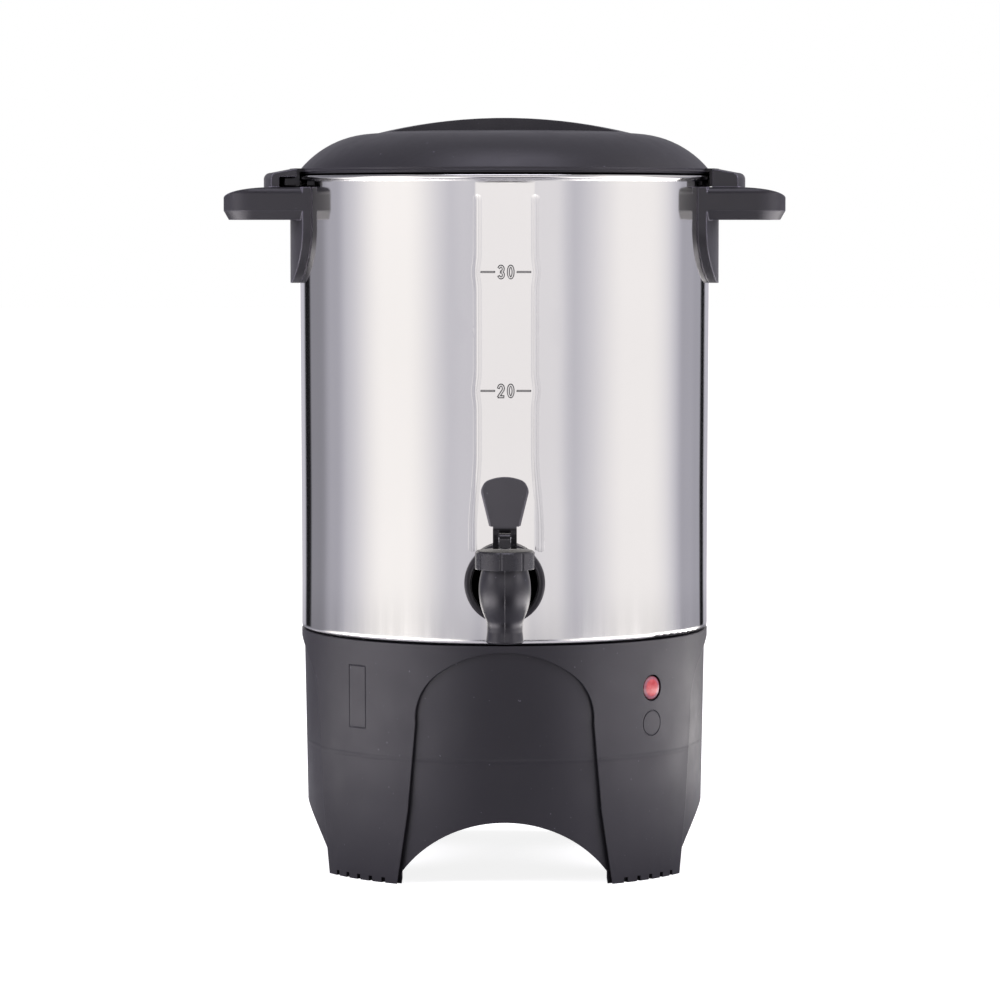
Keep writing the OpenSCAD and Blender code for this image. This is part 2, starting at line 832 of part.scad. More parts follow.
// Half section of barrel and spout: a long bulge, a hollow neck and a flared mouth.
module barrel_section() {
    middle = [barrel_r - bulge_r, shank_z];
    drop = middle[1] - neck_z;
    side = spout_r - middle[0];
    hollow_r = (side * side + drop * drop - bulge_r * bulge_r) / (2 * (bulge_r - side));
    share = bulge_r / (bulge_r + hollow_r);
    meet = [middle[0] + (side + hollow_r) * share, middle[1] - drop * share];
    intersection() {
        translate(middle) circle(r = bulge_r);
        translate([0, meet[1]]) square([barrel_r + 1, bonnet_z - 0.1 - meet[1]]);
    }
    difference() {
        translate([0, neck_z]) square([meet[0] + 0.5, meet[1] - neck_z]);
        translate([spout_r + hollow_r, neck_z]) circle(r = hollow_r);
    }
    polygon([[0, spout_z], [mouth_r - 0.5, spout_z], [mouth_r, spout_z + 0.5],
             [mouth_r, spout_z + 1], [spout_r, neck_z - 2], [spout_r, neck_z], [0, neck_z]]);
    translate([0, bonnet_z - 0.2]) square([thread_r, barrel_top - bonnet_z + 0.2]);
}

// Barrel and spout in one moulding with the shank that passes through the vessel.
module tap_body() {
    color(satin_black) difference() {
        union() {
            translate([0, tap_y, 0]) rotate_extrude() barrel_section();
            shank_axis() translate([0, 0, shank_in]) cylinder(r = shank_r, h = tap_reach - shank_in);
            shank_axis() translate([0, 0, gasket_face]) cylinder(r = flange_r, h = flange_t);
            shank_axis() translate([0, 0, gasket_face]) cylinder(r = 10, h = 8);
        }
        translate([0, tap_y, 0]) rotate_extrude() polygon([
            [0, spout_z - 1], [seat_r, spout_z - 1], [seat_r, seat_z], [chamber_r, chamber_z],
            [chamber_r, barrel_top + 1], [0, barrel_top + 1]]);
        shank_axis() translate([0, 0, shank_in - 1]) cylinder(r = bore_r, h = tap_reach - shank_in);
    }
}

// Gaskets and nut on the shank; the gaskets follow the vessel's round wall.
// The outer one has a raised round lip, and the tap's flange lies in its recess.
module tap_gasket_outer() {
    color(silicone) difference() {
        shank_axis() union() {
            translate([0, 0, 88]) cylinder(r = gasket_r, h = gasket_face + 1 - 88);
            translate([0, 0, gasket_face + 1]) rotate_extrude()
                translate([gasket_r - gasket_lip, 0]) circle(r = gasket_lip);
        }
        shank_axis() translate([0, 0, gasket_face]) cylinder(r = flange_r + 0.3, h = 9);
        shank_axis() translate([0, 0, 80]) cylinder(r = shank_r + play, h = 30);
        vessel_space(play / 2);
    }
}

module tap_gasket_inner() {
    color(silicone) intersection() {
        difference() {
            shank_axis() translate([0, 0, 90.5]) cylinder(r = 13, h = 6);
            shank_axis() translate([0, 0, 80]) cylinder(r = shank_r + play, h = 30);
        }
        vessel_space(-sheet - play / 2);
    }
}

module tap_nut() {
    color(satin_black) difference() {
        shank_axis() translate([0, 0, 83.5]) cylinder(r = 14, h = 7, $fn = 6);
        shank_axis() translate([0, 0, 80]) cylinder(r = shank_r + play, h = 30);
    }
}

// Bonnet nut with a low cone on top and eight finger grooves.
module tap_bonnet() {
    color(satin_black) translate([0, tap_y, 0]) difference() {
        rotate_extrude() polygon([
            [stem_r + 0.08, barrel_top + cup_flange_t], [thread_r + 0.15, barrel_top + cup_flange_t],
            [thread_r + 0.15, bonnet_z], [bonnet_r, bonnet_z], [bonnet_r, bonnet_top - 1.5],
            [bonnet_r - 0.8, bonnet_top - 0.7], [6.2, bonnet_top], [stem_r + 0.08, bonnet_top]]);
        for (groove = [0 : 45 : 315]) rotate([0, 0, groove + groove_turn])
            translate([bonnet_r + 0.35, 0, bonnet_z - 1]) cylinder(r = 0.8, h = 12);
    }
}

// Silicone cup that closes the seat; its rim is clamped under the bonnet.
module seat_cup() {
    color(silicone) translate([0, tap_y, 0]) rotate_extrude() polygon([
        [0, 128.4], [4.8, 128.4], [6.9, 131.7], [6.9, 133], [6.3, 136], [6.6, 146],
        [8.2, barrel_top], [10.2, barrel_top], [10.2, barrel_top + cup_flange_t],
        [7.2, barrel_top + cup_flange_t], [5.4, 146], [5.2, 137], [1.75, 137],
        [1.75, 133.45], [3.05, 133.45], [3.05, 131.15], [0, 131.15]]);
}

// Stem: a knob held in the cup, a round rod through the bonnet and a flat tang for the pin.
module tap_stem() {
    color(satin_black) translate([0, tap_y, 0]) {
        rotate_extrude() polygon([
            [0, 131.2], [3, 131.2], [3, 133.4], [1.7, 133.4], [1.7, 137.1], [stem_r, 137.1],
            [stem_r, bonnet_top + 0.6], [0, bonnet_top + 0.6]]);
        difference() {
            union() {
                translate([-tang_half, -2.9, bonnet_top + 0.5])
                    cube([2 * tang_half, 5.8, pin_z - bonnet_top - 0.5]);
                translate([-tang_half, 0, pin_z]) rotate([0, 90, 0])
                    cylinder(r = 2.9, h = 2 * tang_half);
            }
            translate([-10, 0, pin_z]) rotate([0, 90, 0]) cylinder(r = pin_r + 0.02, h = 20);
        }
    }
}

module tap_pin() {
    color(zinc) translate([-5, tap_y, pin_z]) rotate([0, 90, 0]) cylinder(r = pin_r, h = 10);
}

// Outline of the cam, as y and z from the pin. The foot is flat while the tap is closed.
// Beyond it the edge is an involute: each degree of turn lifts the pin by the same amount.
function cam_edge(turn) =
    let (reach = cam_foot + cam_rise * turn * PI / 180)
    [-reach * sin(turn) - cam_rise * cos(turn), -reach * cos(turn) + cam_rise * sin(turn)];

module lever_side() {
    polygon(concat(
        [[2.6, lever_len], [2.9, 14], [3.6, slot_top], [4.2, -cam_foot + 0.8], [3.5, -cam_foot]],
        [for (turn = [0 : 5 : lever_turn + 5]) cam_edge(turn)],
        [[-6.4, 3.0], [-4.1, 4.4], [-4.1, paddle_z], [-2.3, lever_len]]));
}

// Front view of the paddle: straight sides, round corners and a flat arc along the top.
module paddle_outline(half, top) {
    corner = [half - paddle_corner, top - paddle_brow];
    brow_r = (corner[0] * corner[0] + paddle_brow * paddle_brow - paddle_corner * paddle_corner)
        / (2 * (paddle_brow - paddle_corner));
    wedge = [corner[0], corner[1] - top + brow_r] * 1.5;
    cheek_top = corner + paddle_corner * [cos(paddle_lean), -sin(paddle_lean)];
    neck = cheek_top[0] - (cheek_top[1] - paddle_z) * tan(paddle_lean);
    intersection() {
        translate([0, top - brow_r]) circle(r = brow_r);
        polygon([[0, top - brow_r], [wedge[0], top - brow_r + wedge[1]],
                 [-wedge[0], top - brow_r + wedge[1]]]);
    }
    for (side = [-1, 1]) translate([side * corner[0], corner[1]]) circle(r = paddle_corner);
    polygon([[neck, paddle_z], cheek_top, corner, [-corner[0], corner[1]],
             [-cheek_top[0], cheek_top[1]], [-neck, paddle_z]]);
}

// Front part of the lever, and the slightly wider and lower rim behind it.
module lever_plates() {
    plates = [[-15, 0, paddle_half, lever_len],
              [0, 15, paddle_half + rim_step[0], lever_len - rim_step[1]]];
    for (plate = plates) translate([0, plate[1], 0]) rotate([90, 0, 0])
        linear_extrude(plate[1] - plate[0]) {
            translate([-cheek[1], -12]) square([2 * cheek[1], paddle_z + 13]);
            paddle_outline(plate[2], plate[3]);
        }
}

module tap_lever() {
    color(satin_black) translate([0, tap_y, pin_z]) difference() {
        intersection() {
            translate([-15, 0, 0]) rotate([90, 0, 90]) linear_extrude(30) lever_side();
            lever_plates();
        }
        translate([-cheek[0], -15, -15]) cube([2 * cheek[0], 30, 15]);
        translate([-cheek[0], -15, -1]) cube([2 * cheek[0], 15, slot_top + 1]);
        translate([-cheek[0], 0, 0]) rotate([0, 90, 0]) cylinder(r = 3.1, h = 2 * cheek[0]);
        translate([-10, 0, 0]) rotate([0, 90, 0]) cylinder(r = pin_r + 0.07, h = 20);
    }
}

base_skirt();
clamp_ring();
bottom_cover();
cover_screws();
inlet_housing();
inlet_pins();
lamp_lens();
lamp_body();
vessel();
vessel_studs();
deck_nuts();
boil_heater();
warm_heater();
thermostat();
thermal_fuse();
sensor_bracket();
handle_left();
handle_right();
handle_screws_left();
handle_screws_right();
lid();
basket();
basket_floor();
basket_cover();
pump_tube();
tap_body();
tap_gasket_outer();
tap_gasket_inner();
tap_nut();
tap_bonnet();
seat_cup();
tap_stem();
tap_pin();
tap_lever();
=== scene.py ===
import json
import math

import bmesh
import bpy
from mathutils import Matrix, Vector


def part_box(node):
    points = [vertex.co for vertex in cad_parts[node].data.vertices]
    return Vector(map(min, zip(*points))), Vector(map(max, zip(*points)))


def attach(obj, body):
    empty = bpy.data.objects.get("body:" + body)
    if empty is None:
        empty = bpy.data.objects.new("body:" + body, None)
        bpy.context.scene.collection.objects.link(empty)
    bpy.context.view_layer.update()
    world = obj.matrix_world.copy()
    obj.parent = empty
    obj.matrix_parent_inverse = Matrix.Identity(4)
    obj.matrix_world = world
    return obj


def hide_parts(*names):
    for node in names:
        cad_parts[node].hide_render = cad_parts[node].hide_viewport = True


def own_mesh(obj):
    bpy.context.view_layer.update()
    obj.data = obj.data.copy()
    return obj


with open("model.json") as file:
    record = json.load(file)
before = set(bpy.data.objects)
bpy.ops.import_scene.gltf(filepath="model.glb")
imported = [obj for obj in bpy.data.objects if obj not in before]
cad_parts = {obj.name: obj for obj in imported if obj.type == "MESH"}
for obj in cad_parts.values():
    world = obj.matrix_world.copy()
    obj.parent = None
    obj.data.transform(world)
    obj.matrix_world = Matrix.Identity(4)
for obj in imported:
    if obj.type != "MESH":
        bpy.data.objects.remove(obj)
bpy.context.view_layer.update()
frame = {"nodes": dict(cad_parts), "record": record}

MM = 0.001
WHITE = (1.0, 1.0, 1.0, 1.0)
NODES = frame["nodes"]

# ---- camera: the photograph is 1000 pixels wide, 0.466 mm each at the vessel's axis ----
MM_PER_PIXEL = 0.466
FOCAL_PIXELS = 4200.0
PICTURE_PIXELS = 1000.0
SENSOR = 36.0
EYE_HEIGHT = 299.1 * MM
PITCH_DOWN = math.radians(3.83)
# The urn's axis lies 4.5 pixels to the right of the picture's middle.
AXIS_PIXELS = -4.5
CLIP = (0.05, 50.0)


def make_camera():
    data = bpy.data.cameras.new("camera")
    data.sensor_width = SENSOR
    data.lens = SENSOR * FOCAL_PIXELS / PICTURE_PIXELS
    data.clip_start, data.clip_end = CLIP
    camera = bpy.data.objects.new("camera", data)
    bpy.context.collection.objects.link(camera)
    side = AXIS_PIXELS * MM_PER_PIXEL * MM
    camera.location = (side, -FOCAL_PIXELS * MM_PER_PIXEL * MM, EYE_HEIGHT)
    camera.rotation_euler = (math.radians(90) - PITCH_DOWN, 0.0, 0.0)
    bpy.context.scene.camera = camera


def smooth(x):
    """0 up to x = 0, 1 from x = 1 on, and a smooth rise between them."""
    x = min(max(x, 0.0), 1.0)
    return x * x * (3.0 - 2.0 * x)


# ---- small helpers for node materials ----
# A Mix node has sockets for every kind of data. These are its colour inputs and its colour output.
MIX_COLOURS = (6, 7)
MIX_RESULT = 2
BEVEL_SAMPLES = 6
WEAR_AND_HIGHLIGHT_STOPS = [(0.80, 1.0), (0.985, 0.0)]


def new_material(name):
    material = bpy.data.materials.new(name)
    material.use_nodes = True
    tree = material.node_tree
    return material, tree, tree.nodes["Principled BSDF"]


def add(tree, kind, **values):
    node = tree.nodes.new(kind)
    for key, value in values.items():
        setattr(node, key, value)
    return node


def feed(tree, source, socket):
    """Links another node's output to a socket, or sets the socket to a plain value."""
    if isinstance(source, bpy.types.NodeSocket):
        tree.links.new(source, socket)
    else:
        socket.default_value = source


def object_place(tree, stretch=None):
    """Place in the frame, with each axis scaled where stretch is given."""
    place = add(tree, "ShaderNodeTexCoord").outputs["Object"]
    if not stretch:
        return place
    mapping = add(tree, "ShaderNodeMapping")
    mapping.inputs["Scale"].default_value = stretch
    tree.links.new(place, mapping.inputs["Vector"])
    return mapping.outputs["Vector"]


def noise(tree, scale, detail=4.0, roughness=0.55, stretch=None):
    texture = add(tree, "ShaderNodeTexNoise")
    texture.inputs["Scale"].default_value = scale
    texture.inputs["Detail"].default_value = detail
    texture.inputs["Roughness"].default_value = roughness
    tree.links.new(object_place(tree, stretch), texture.inputs["Vector"])
    return texture.outputs["Fac"]


def ramp(tree, source, stops):
    node = add(tree, "ShaderNodeValToRGB")
    elements = node.color_ramp.elements
    while len(elements) < len(stops):
        elements.new(0.5)
    for element, (place, value) in zip(elements, stops):
        element.position = place
        element.color = value if isinstance(value, tuple) else (value, value, value, 1.0)
    tree.links.new(source, node.inputs["Fac"])
    return node.outputs["Color"]


def bump(tree, source, strength, distance, normal=None):
    node = add(tree, "ShaderNodeBump")
    node.inputs["Strength"].default_value = strength
    node.inputs["Distance"].default_value = distance
    tree.links.new(source, node.inputs["Height"])
    if normal:
        tree.links.new(normal, node.inputs["Normal"])
    return node.outputs["Normal"]


def soft_edges(tree, radius):
    """Normals rounded over the edges, as the mould's small radii leave them."""
    node = add(tree, "ShaderNodeBevel", samples=BEVEL_SAMPLES)
    node.inputs["Radius"].default_value = radius
    return node.outputs["Normal"]


# Lighter edges: partly wear, partly a painted highlight along the rounded edges.
def edge_wear_and_highlight(tree, rounded):
    """0 on flat faces, rising where the rounded normal turns away from the face."""
    face = add(tree, "ShaderNodeNewGeometry").outputs["Normal"]
    dot = add(tree, "ShaderNodeVectorMath", operation="DOT_PRODUCT")
    tree.links.new(face, dot.inputs[0])
    tree.links.new(rounded, dot.inputs[1])
    return ramp(tree, dot.outputs["Value"], WEAR_AND_HIGHLIGHT_STOPS)


def mixed(tree, factor, first, second):
    node = add(tree, "ShaderNodeMix", data_type="RGBA")
    tree.links.new(factor, node.inputs["Factor"])
    for source, place in zip((first, second), MIX_COLOURS):
        feed(tree, source, node.inputs[place])
    return node.outputs[MIX_RESULT]


def shade(colour, factor):
    """The colour made darker or lighter, with full alpha."""
    return tuple(min(1.0, c * factor) for c in colour) + (1.0,)


def level_between(tree, source, low, high, least=0.0):
    """least below low, 1 above high and a smooth rise between them."""
    node = add(tree, "ShaderNodeMapRange", interpolation_type="SMOOTHSTEP")
    tree.links.new(source, node.inputs["Value"])
    node.inputs["From Min"].default_value = low
    node.inputs["From Max"].default_value = high
    node.inputs["To Min"].default_value = least
    return node.outputs["Result"]


def calculated(tree, operation, first, second):
    """The result of a Math node such as MULTIPLY, SUBTRACT or MAXIMUM."""
    node = add(tree, "ShaderNodeMath", operation=operation)
    feed(tree, first, node.inputs[0])
    feed(tree, second, node.inputs[1])
    return node.outputs["Value"]


def length_of(tree, vector):
    node = add(tree, "ShaderNodeVectorMath", operation="LENGTH")
    tree.links.new(vector, node.inputs[0])
    return node.outputs["Value"]


def along(tree, axis):
    """Place along one axis of the frame."""
    split = add(tree, "ShaderNodeSeparateXYZ")
    tree.links.new(object_place(tree), split.inputs["Vector"])
    return split.outputs[axis]


def against(tree, axis):
    """Place along one axis of the frame, counted the other way."""
    return calculated(tree, "MULTIPLY", along(tree, axis), -1.0)


def round_upright_axis(tree):
    """Distance from the urn's upright axis."""
    return length_of(tree, object_place(tree, (1.0, 1.0, 0.0)))


def round_front_axis(tree, height):
    """Distance from a level line that runs front to back at this height."""
    shifted = add(tree, "ShaderNodeVectorMath", operation="MULTIPLY_ADD")
    tree.links.new(object_place(tree), shifted.inputs[0])
    shifted.inputs[1].default_value = (1.0, 0.0, 1.0)
    shifted.inputs[2].default_value = (0.0, 0.0, -height)
    return length_of(tree, shifted.outputs["Vector"])


LAMP_Z = 87.4 * MM
LAMP_TURN = math.radians(-45)


def round_lamp_axis(tree):
    """Distance from the level axis of the lamp, which looks out between front and right."""
    shifted = add(tree, "ShaderNodeVectorMath", operation="SUBTRACT")
    tree.links.new(object_place(tree), shifted.inputs[0])
    shifted.inputs[1].default_value = (0.0, 0.0, LAMP_Z)
    across = add(tree, "ShaderNodeVectorMath", operation="CROSS_PRODUCT")
    tree.links.new(shifted.outputs["Vector"], across.inputs[0])
    across.inputs[1].default_value = (math.cos(LAMP_TURN), math.sin(LAMP_TURN), 0.0)
    return length_of(tree, across.outputs["Vector"])


# ---- crevices: each share is 1 in the open and 0 where no light comes in the photograph ----
# Crevices are painted this black as painted shade, and their gloss is lowered with it.
PAINTED_SHADE_BLACK = (0.0004, 0.0004, 0.0004, 1.0)
# Each pair is where the share changes: heights, distances forward of the urn's axis, or radii.
LID_GAP_ZS = (319.5 * MM, 320.1 * MM)
LID_EAR_RS = (96.3 * MM, 97.3 * MM)
CHEEK_ZS = (164.0 * MM, 165.2 * MM)
CHEEK_LEAST = 0.2
BONNET_TOP_ZS = (154.45 * MM, 154.75 * MM)
BONNET_LEAST = 0.05
FLANGE_REACH = (103.5 * MM, 107.0 * MM)
SHANK_Z = 137.5 * MM
GASKET_RS = (14.4 * MM, 15.2 * MM)


def lid_painted_shade(tree):
    """Painted shade in the gap over the vessel's rim, but not on the ears outside the rim."""
    dome = level_between(tree, along(tree, "Z"), *LID_GAP_ZS)
    ears = level_between(tree, round_upright_axis(tree), *LID_EAR_RS)
    return calculated(tree, "MAXIMUM", dome, ears)


def lever_painted_shade(tree):
    """Dark on the two cheeks, in the shade of the paddle."""
    return level_between(tree, along(tree, "Z"), *CHEEK_ZS, least=CHEEK_LEAST)


def bonnet_painted_shade(tree):
    """Dark on the top, in the shade of the lever."""
    low, high = BONNET_TOP_ZS
    return level_between(tree, against(tree, "Z"), -high, -low, least=BONNET_LEAST)


def flange_painted_shade(tree):
    """Painted shade on the tap's flange, behind the barrel."""
    return level_between(tree, against(tree, "Y"), *FLANGE_REACH)


def gasket_painted_shade(tree):
    """Painted shade in the middle of the gasket, between the barrel and the lip."""
    return level_between(tree, round_front_axis(tree, SHANK_Z), *GASKET_RS)


# ---- looks of the plastics and the metals ----
PLASTIC_IOR = 1.5
GLOSS_TINT = (0.93, 0.915, 1.0, 1.0)
CLOUD_SHADES = (0.9, 1.1)
SPECK_SHADE = 6.0
SPECK_STOPS = [(0.775, 0.0), (0.80, 1.0)]
GRAIN_DEPTH = 0.04 * MM
WARP_DEPTH = 0.15 * MM
SINK_BELOW = 1.6 * MM
SINK_ABOVE = 1.2 * MM
SINK_DEPTH = 0.16 * MM


def sink_line(tree, height, normal):
    """A faint uneven line over the ribs inside a moulding."""
    z = along(tree, "Z")
    below = level_between(tree, z, height - SINK_BELOW, height)
    above = level_between(tree, z, height, height + SINK_ABOVE)
    line = calculated(tree, "SUBTRACT", below, above)
    uneven = calculated(tree, "MULTIPLY", line, noise(tree, scale=30.0, detail=3.0))
    return bump(tree, uneven, strength=1.0, distance=SINK_DEPTH, normal=normal)


def moulded_plastic(name, colour, rough, grain=0.2, grain_scale=1500.0, edge=0.45 * MM, wear_and_highlight=2.2,
                    gloss=0.5, painted_shade_share=None, sink_z=None):
    """Satin plastic: cloudy colour, lighter edges for wear and painted highlight, pale specks,
    uneven gloss, a fine grain and a slight warp. painted_shade_share makes the share of light that
    reaches each place, which paints shade into the colour and the gloss, and sink_z is the height
    of a sink line."""
    material, tree, shader = new_material(name)
    dull, pale = (shade(colour, factor) for factor in CLOUD_SHADES)
    cloud = ramp(tree, noise(tree, scale=14.0), [(0.3, dull), (0.7, pale)])
    rounded = soft_edges(tree, edge)
    worn_and_highlit = mixed(tree, edge_wear_and_highlight(tree, rounded), cloud, shade(colour, wear_and_highlight))
    specks = ramp(tree, noise(tree, scale=620.0, detail=1.0), SPECK_STOPS)
    tint = mixed(tree, specks, worn_and_highlit, shade(colour, SPECK_SHADE))
    specular = shader.inputs["Specular IOR Level"]
    specular.default_value = gloss
    # Painted shade: the colour fades to black and the gloss falls where the share of light is low.
    if painted_shade_share:
        share = painted_shade_share(tree)
        tint = mixed(tree, share, PAINTED_SHADE_BLACK, tint)
        tree.links.new(calculated(tree, "MULTIPLY", share, gloss), specular)
    tree.links.new(tint, shader.inputs["Base Color"])
    patches = noise(tree, scale=60.0, detail=6.0, roughness=0.6)
    tree.links.new(ramp(tree, patches, [(0.3, rough - 0.04), (0.7, rough + 0.05)]),
                   shader.inputs["Roughness"])
    grains = noise(tree, grain_scale, detail=2.0)
    normal = bump(tree, grains, strength=grain, distance=GRAIN_DEPTH, normal=rounded)
    warp = noise(tree, scale=22.0, detail=2.0)
    normal = bump(tree, warp, strength=0.25, distance=WARP_DEPTH, normal=normal)
    if sink_z:
        normal = sink_line(tree, sink_z, normal)
    tree.links.new(normal, shader.inputs["Normal"])
    shader.inputs["IOR"].default_value = PLASTIC_IOR
    shader.inputs["Specular Tint"].default_value = GLOSS_TINT
    return material


# How a metal's streaks and waves are stretched along each axis: small is long.
EVEN = (1, 1, 1)
DRAWN_UP = (1, 1, 0.02)
SPUN = (1, 1, 0.1)
ROLLED = (1, 1, 0.5)
STREAK_DEPTH = 0.02 * MM
WAVE_DEPTH = 0.1 * MM


def metal(name, colour, rough, stretch=DRAWN_UP, strength=0.05, wave=0.0, edge=0.0):
    """Metal with fine streaks in its gloss and, where pressed from sheet, a slow waviness
    and rounded bends."""
    material, tree, shader = new_material(name)
    shader.inputs["Metallic"].default_value = 1.0
    tint = noise(tree, scale=6.0, detail=3.0)
    tree.links.new(ramp(tree, tint, [(0.3, shade(colour, 0.98)), (0.7, shade(colour, 1.02))]),
                   shader.inputs["Base Color"])
    streaks = noise(tree, scale=220.0, detail=6.0, roughness=0.6, stretch=stretch)
    tree.links.new(ramp(tree, streaks, [(0.35, rough * 0.75), (0.65, rough * 1.3)]),
                   shader.inputs["Roughness"])
    normal = soft_edges(tree, edge) if edge else None
    normal = bump(tree, streaks, strength, distance=STREAK_DEPTH, normal=normal)
    if wave:
        waves = noise(tree, scale=16.0, detail=2.0, roughness=0.5, stretch=ROLLED)
        normal = bump(tree, waves, strength=wave, distance=WAVE_DEPTH, normal=normal)
    tree.links.new(normal, shader.inputs["Normal"])
    return material


LENS_CORE = [(0.3, (0.30, 0.028, 0.034, 1.0)), (0.7, (0.40, 0.068, 0.074, 1.0))]
LENS_COLLAR = (0.20, 0.068, 0.09, 1.0)
LENS_COLLAR_RS = (3.4 * MM, 4.3 * MM)
# Painted shade of the lamp's recess on the lens's edge.
LENS_RECESS_SHADE = (0.05, 0.004, 0.006, 1.0)
LENS_RECESS_SHADE_RS = (4.7 * MM, 5.3 * MM)
LENS_ROUGHNESS = [(0.3, 0.22), (0.7, 0.32)]
LENS_FACET_DEPTH = 0.1 * MM
LENS_INPUTS = {"IOR": 1.49, "Specular IOR Level": 0.25, "Coat Weight": 0.25, "Coat Roughness": 0.25,
               "Subsurface Weight": 0.3, "Subsurface Scale": 1.0,
               "Subsurface Radius": (2.0 * MM, 0.5 * MM, 0.5 * MM)}


def red_lens():
    """Clear red plastic over a small lamp: milky pink in the middle, with the shade of its recess
    painted dark at its edge.
    """
    material, tree, shader = new_material("red_lens_look")
    facets = noise(tree, scale=420.0, detail=1.0)
    tint = ramp(tree, facets, LENS_CORE)
    for radii, colour in ((LENS_COLLAR_RS, LENS_COLLAR), (LENS_RECESS_SHADE_RS, LENS_RECESS_SHADE)):
        outside = level_between(tree, round_lamp_axis(tree), *radii)
        tint = mixed(tree, outside, tint, colour)
    tree.links.new(tint, shader.inputs["Base Color"])
    patches = noise(tree, scale=90.0, detail=2.0)
    tree.links.new(ramp(tree, patches, LENS_ROUGHNESS), shader.inputs["Roughness"])
    for field, value in LENS_INPUTS.items():
        shader.inputs[field].default_value = value
    normal = bump(tree, facets, strength=0.25, distance=LENS_FACET_DEPTH)
    tree.links.new(normal, shader.inputs["Normal"])
    return material


STEEL = (0.72, 0.715, 0.71)
# A darker steel: the rolled rim's own, and painted shade on the panel borders' inner flanks.
WORKED_STEEL_AND_SHADE = (0.60, 0.595, 0.60)
CHARCOAL = (0.0105, 0.0098, 0.0122)
TAP_BLACK = (0.0105, 0.0101, 0.0121)
SINK_Z = 57.0 * MM
TAP_GRAIN = {"grain": 0.06, "grain_scale": 900.0}
RUBBER_GRAIN = {"grain": 0.15, "grain_scale": 700.0}

LOOKS = {
    "charcoal": moulded_plastic("charcoal_look", CHARCOAL, 0.42, gloss=0.42, sink_z=SINK_Z),
    "black_plastic": moulded_plastic("black_plastic_look", (0.016, 0.016, 0.018), 0.5, grain=0.3),
    "lid_black": moulded_plastic("lid_black_look", CHARCOAL, 0.40, gloss=0.45,
                                 painted_shade_share=lid_painted_shade),
    "tap_black": moulded_plastic("tap_black_look", TAP_BLACK, 0.27, edge=0.4 * MM, **TAP_GRAIN),
    "polished_steel": metal("polished_steel_look", STEEL, 0.075, wave=0.08, edge=1.3 * MM),
    "plated_steel": metal("plated_steel_look", (0.56, 0.56, 0.58), 0.3, EVEN, 0.3),
    "cast_aluminium": metal("cast_aluminium_look", (0.55, 0.55, 0.56), 0.5, EVEN, 0.8),
    "basket_aluminium": metal("basket_aluminium_look", (0.74, 0.74, 0.75), 0.25, SPUN, 0.3),
    "mica": moulded_plastic("mica_look", (0.42, 0.36, 0.24), 0.6, grain=0.4, grain_scale=300.0),
    "red_lens": red_lens(),
    "silicone": moulded_plastic("silicone_look", (0.022, 0.022, 0.023), 0.5, edge=0.3 * MM,
                                **RUBBER_GRAIN),
}
PLAIN_STEEL = metal("plain_steel_look", STEEL, 0.09)
ETCHED = metal("etched_steel_look", (0.09, 0.09, 0.095), 0.45, EVEN, 0.5)
# Darker steels on the borders' flanks, as painted shade on the ridges.
INNER_FLANK_SHADE = metal("inner_flank_shade_look", WORKED_STEEL_AND_SHADE, 0.2)
OUTER_FLANK_SHADE = metal("outer_flank_shade_look", (0.66, 0.655, 0.655), 0.15)
# The handles' edges are painted much lighter, as a painted highlight along them.
HANDLE = moulded_plastic("handle_look", CHARCOAL, 0.42, edge=1.0 * MM, wear_and_highlight=14.0)
# The lever's black is painted lighter than the tap's as painted light on its face, and its edges
# get a painted highlight.
LEVER = moulded_plastic("lever_look", (0.030, 0.0287, 0.032), 0.36, grain=0.15, grain_scale=900.0,
                        edge=1.2 * MM, wear_and_highlight=3.5, painted_shade_share=lever_painted_shade)
RIM_STEEL = metal("rim_steel_look", WORKED_STEEL_AND_SHADE, 0.12)
BONNET = moulded_plastic("bonnet_look", TAP_BLACK, 0.27, edge=0.5 * MM,
                         painted_shade_share=bonnet_painted_shade, **TAP_GRAIN)
TAP_BODY = moulded_plastic("tap_body_look", TAP_BLACK, 0.30, edge=0.4 * MM, gloss=0.4,
                           painted_shade_share=flange_painted_shade, **TAP_GRAIN)
GASKET = moulded_plastic("gasket_look", (0.015, 0.014, 0.016), 0.42, edge=0.5 * MM, gloss=0.25,
                         painted_shade_share=gasket_painted_shade, **RUBBER_GRAIN)

OWN_LOOKS = {"tap_body": TAP_BODY, "tap_gasket_outer": GASKET, "tap_bonnet": BONNET,
             "tap_lever": LEVER, "handle_left": HANDLE, "handle_right": HANDLE}
# The vessel is shown without the tap's mirror image in it, as in the photograph.
UNMIRRORED = ("tap_body", "tap_bonnet", "tap_stem", "tap_pin", "tap_lever")


def dress_frame():
    """Gives each node its slot's look, or its own look where it has one."""
    slots ={s["node"]: s["material_slot"] for s in frame["record"]["subparts"]}
    for name, node in NODES.items():
        node.data.materials.clear()
        node.data.materials.append(OWN_LOOKS.get(name, LOOKS[slots[name]]))
    for name in UNMIRRORED:
        NODES[name].visible_glossy = False


def mesh_object(name, verts, faces, materials):
    mesh = bpy.data.meshes.new(name)
    mesh.from_pydata(verts, [], faces)
    mesh.update()
    obj = bpy.data.objects.new(name, mesh)
    bpy.context.collection.objects.link(obj)
    for material in materials:
        mesh.materials.append(material)
    return obj


# ---- raised strokes: fill marks and borders on the vessel, the mould seam on the tap ----
# Their places, half widths and heights are in mm.
SAME_POINT = 1e-6
# A rounded line sinks to this height over its last points.
SUNK = -0.2
FADE_POINTS = 2
RAY_START_Y = -0.4


def front_y(node, x, z):
    """Where a level line from the front meets a node, in metres."""
    hit, place, _, _ = NODES[node].ray_cast(Vector((x, RAY_START_Y, z)), Vector((0, 1, 0)))
    if not hit:
        raise ValueError(f"nothing of {node} in front at {x}, {z}")
    return place.y


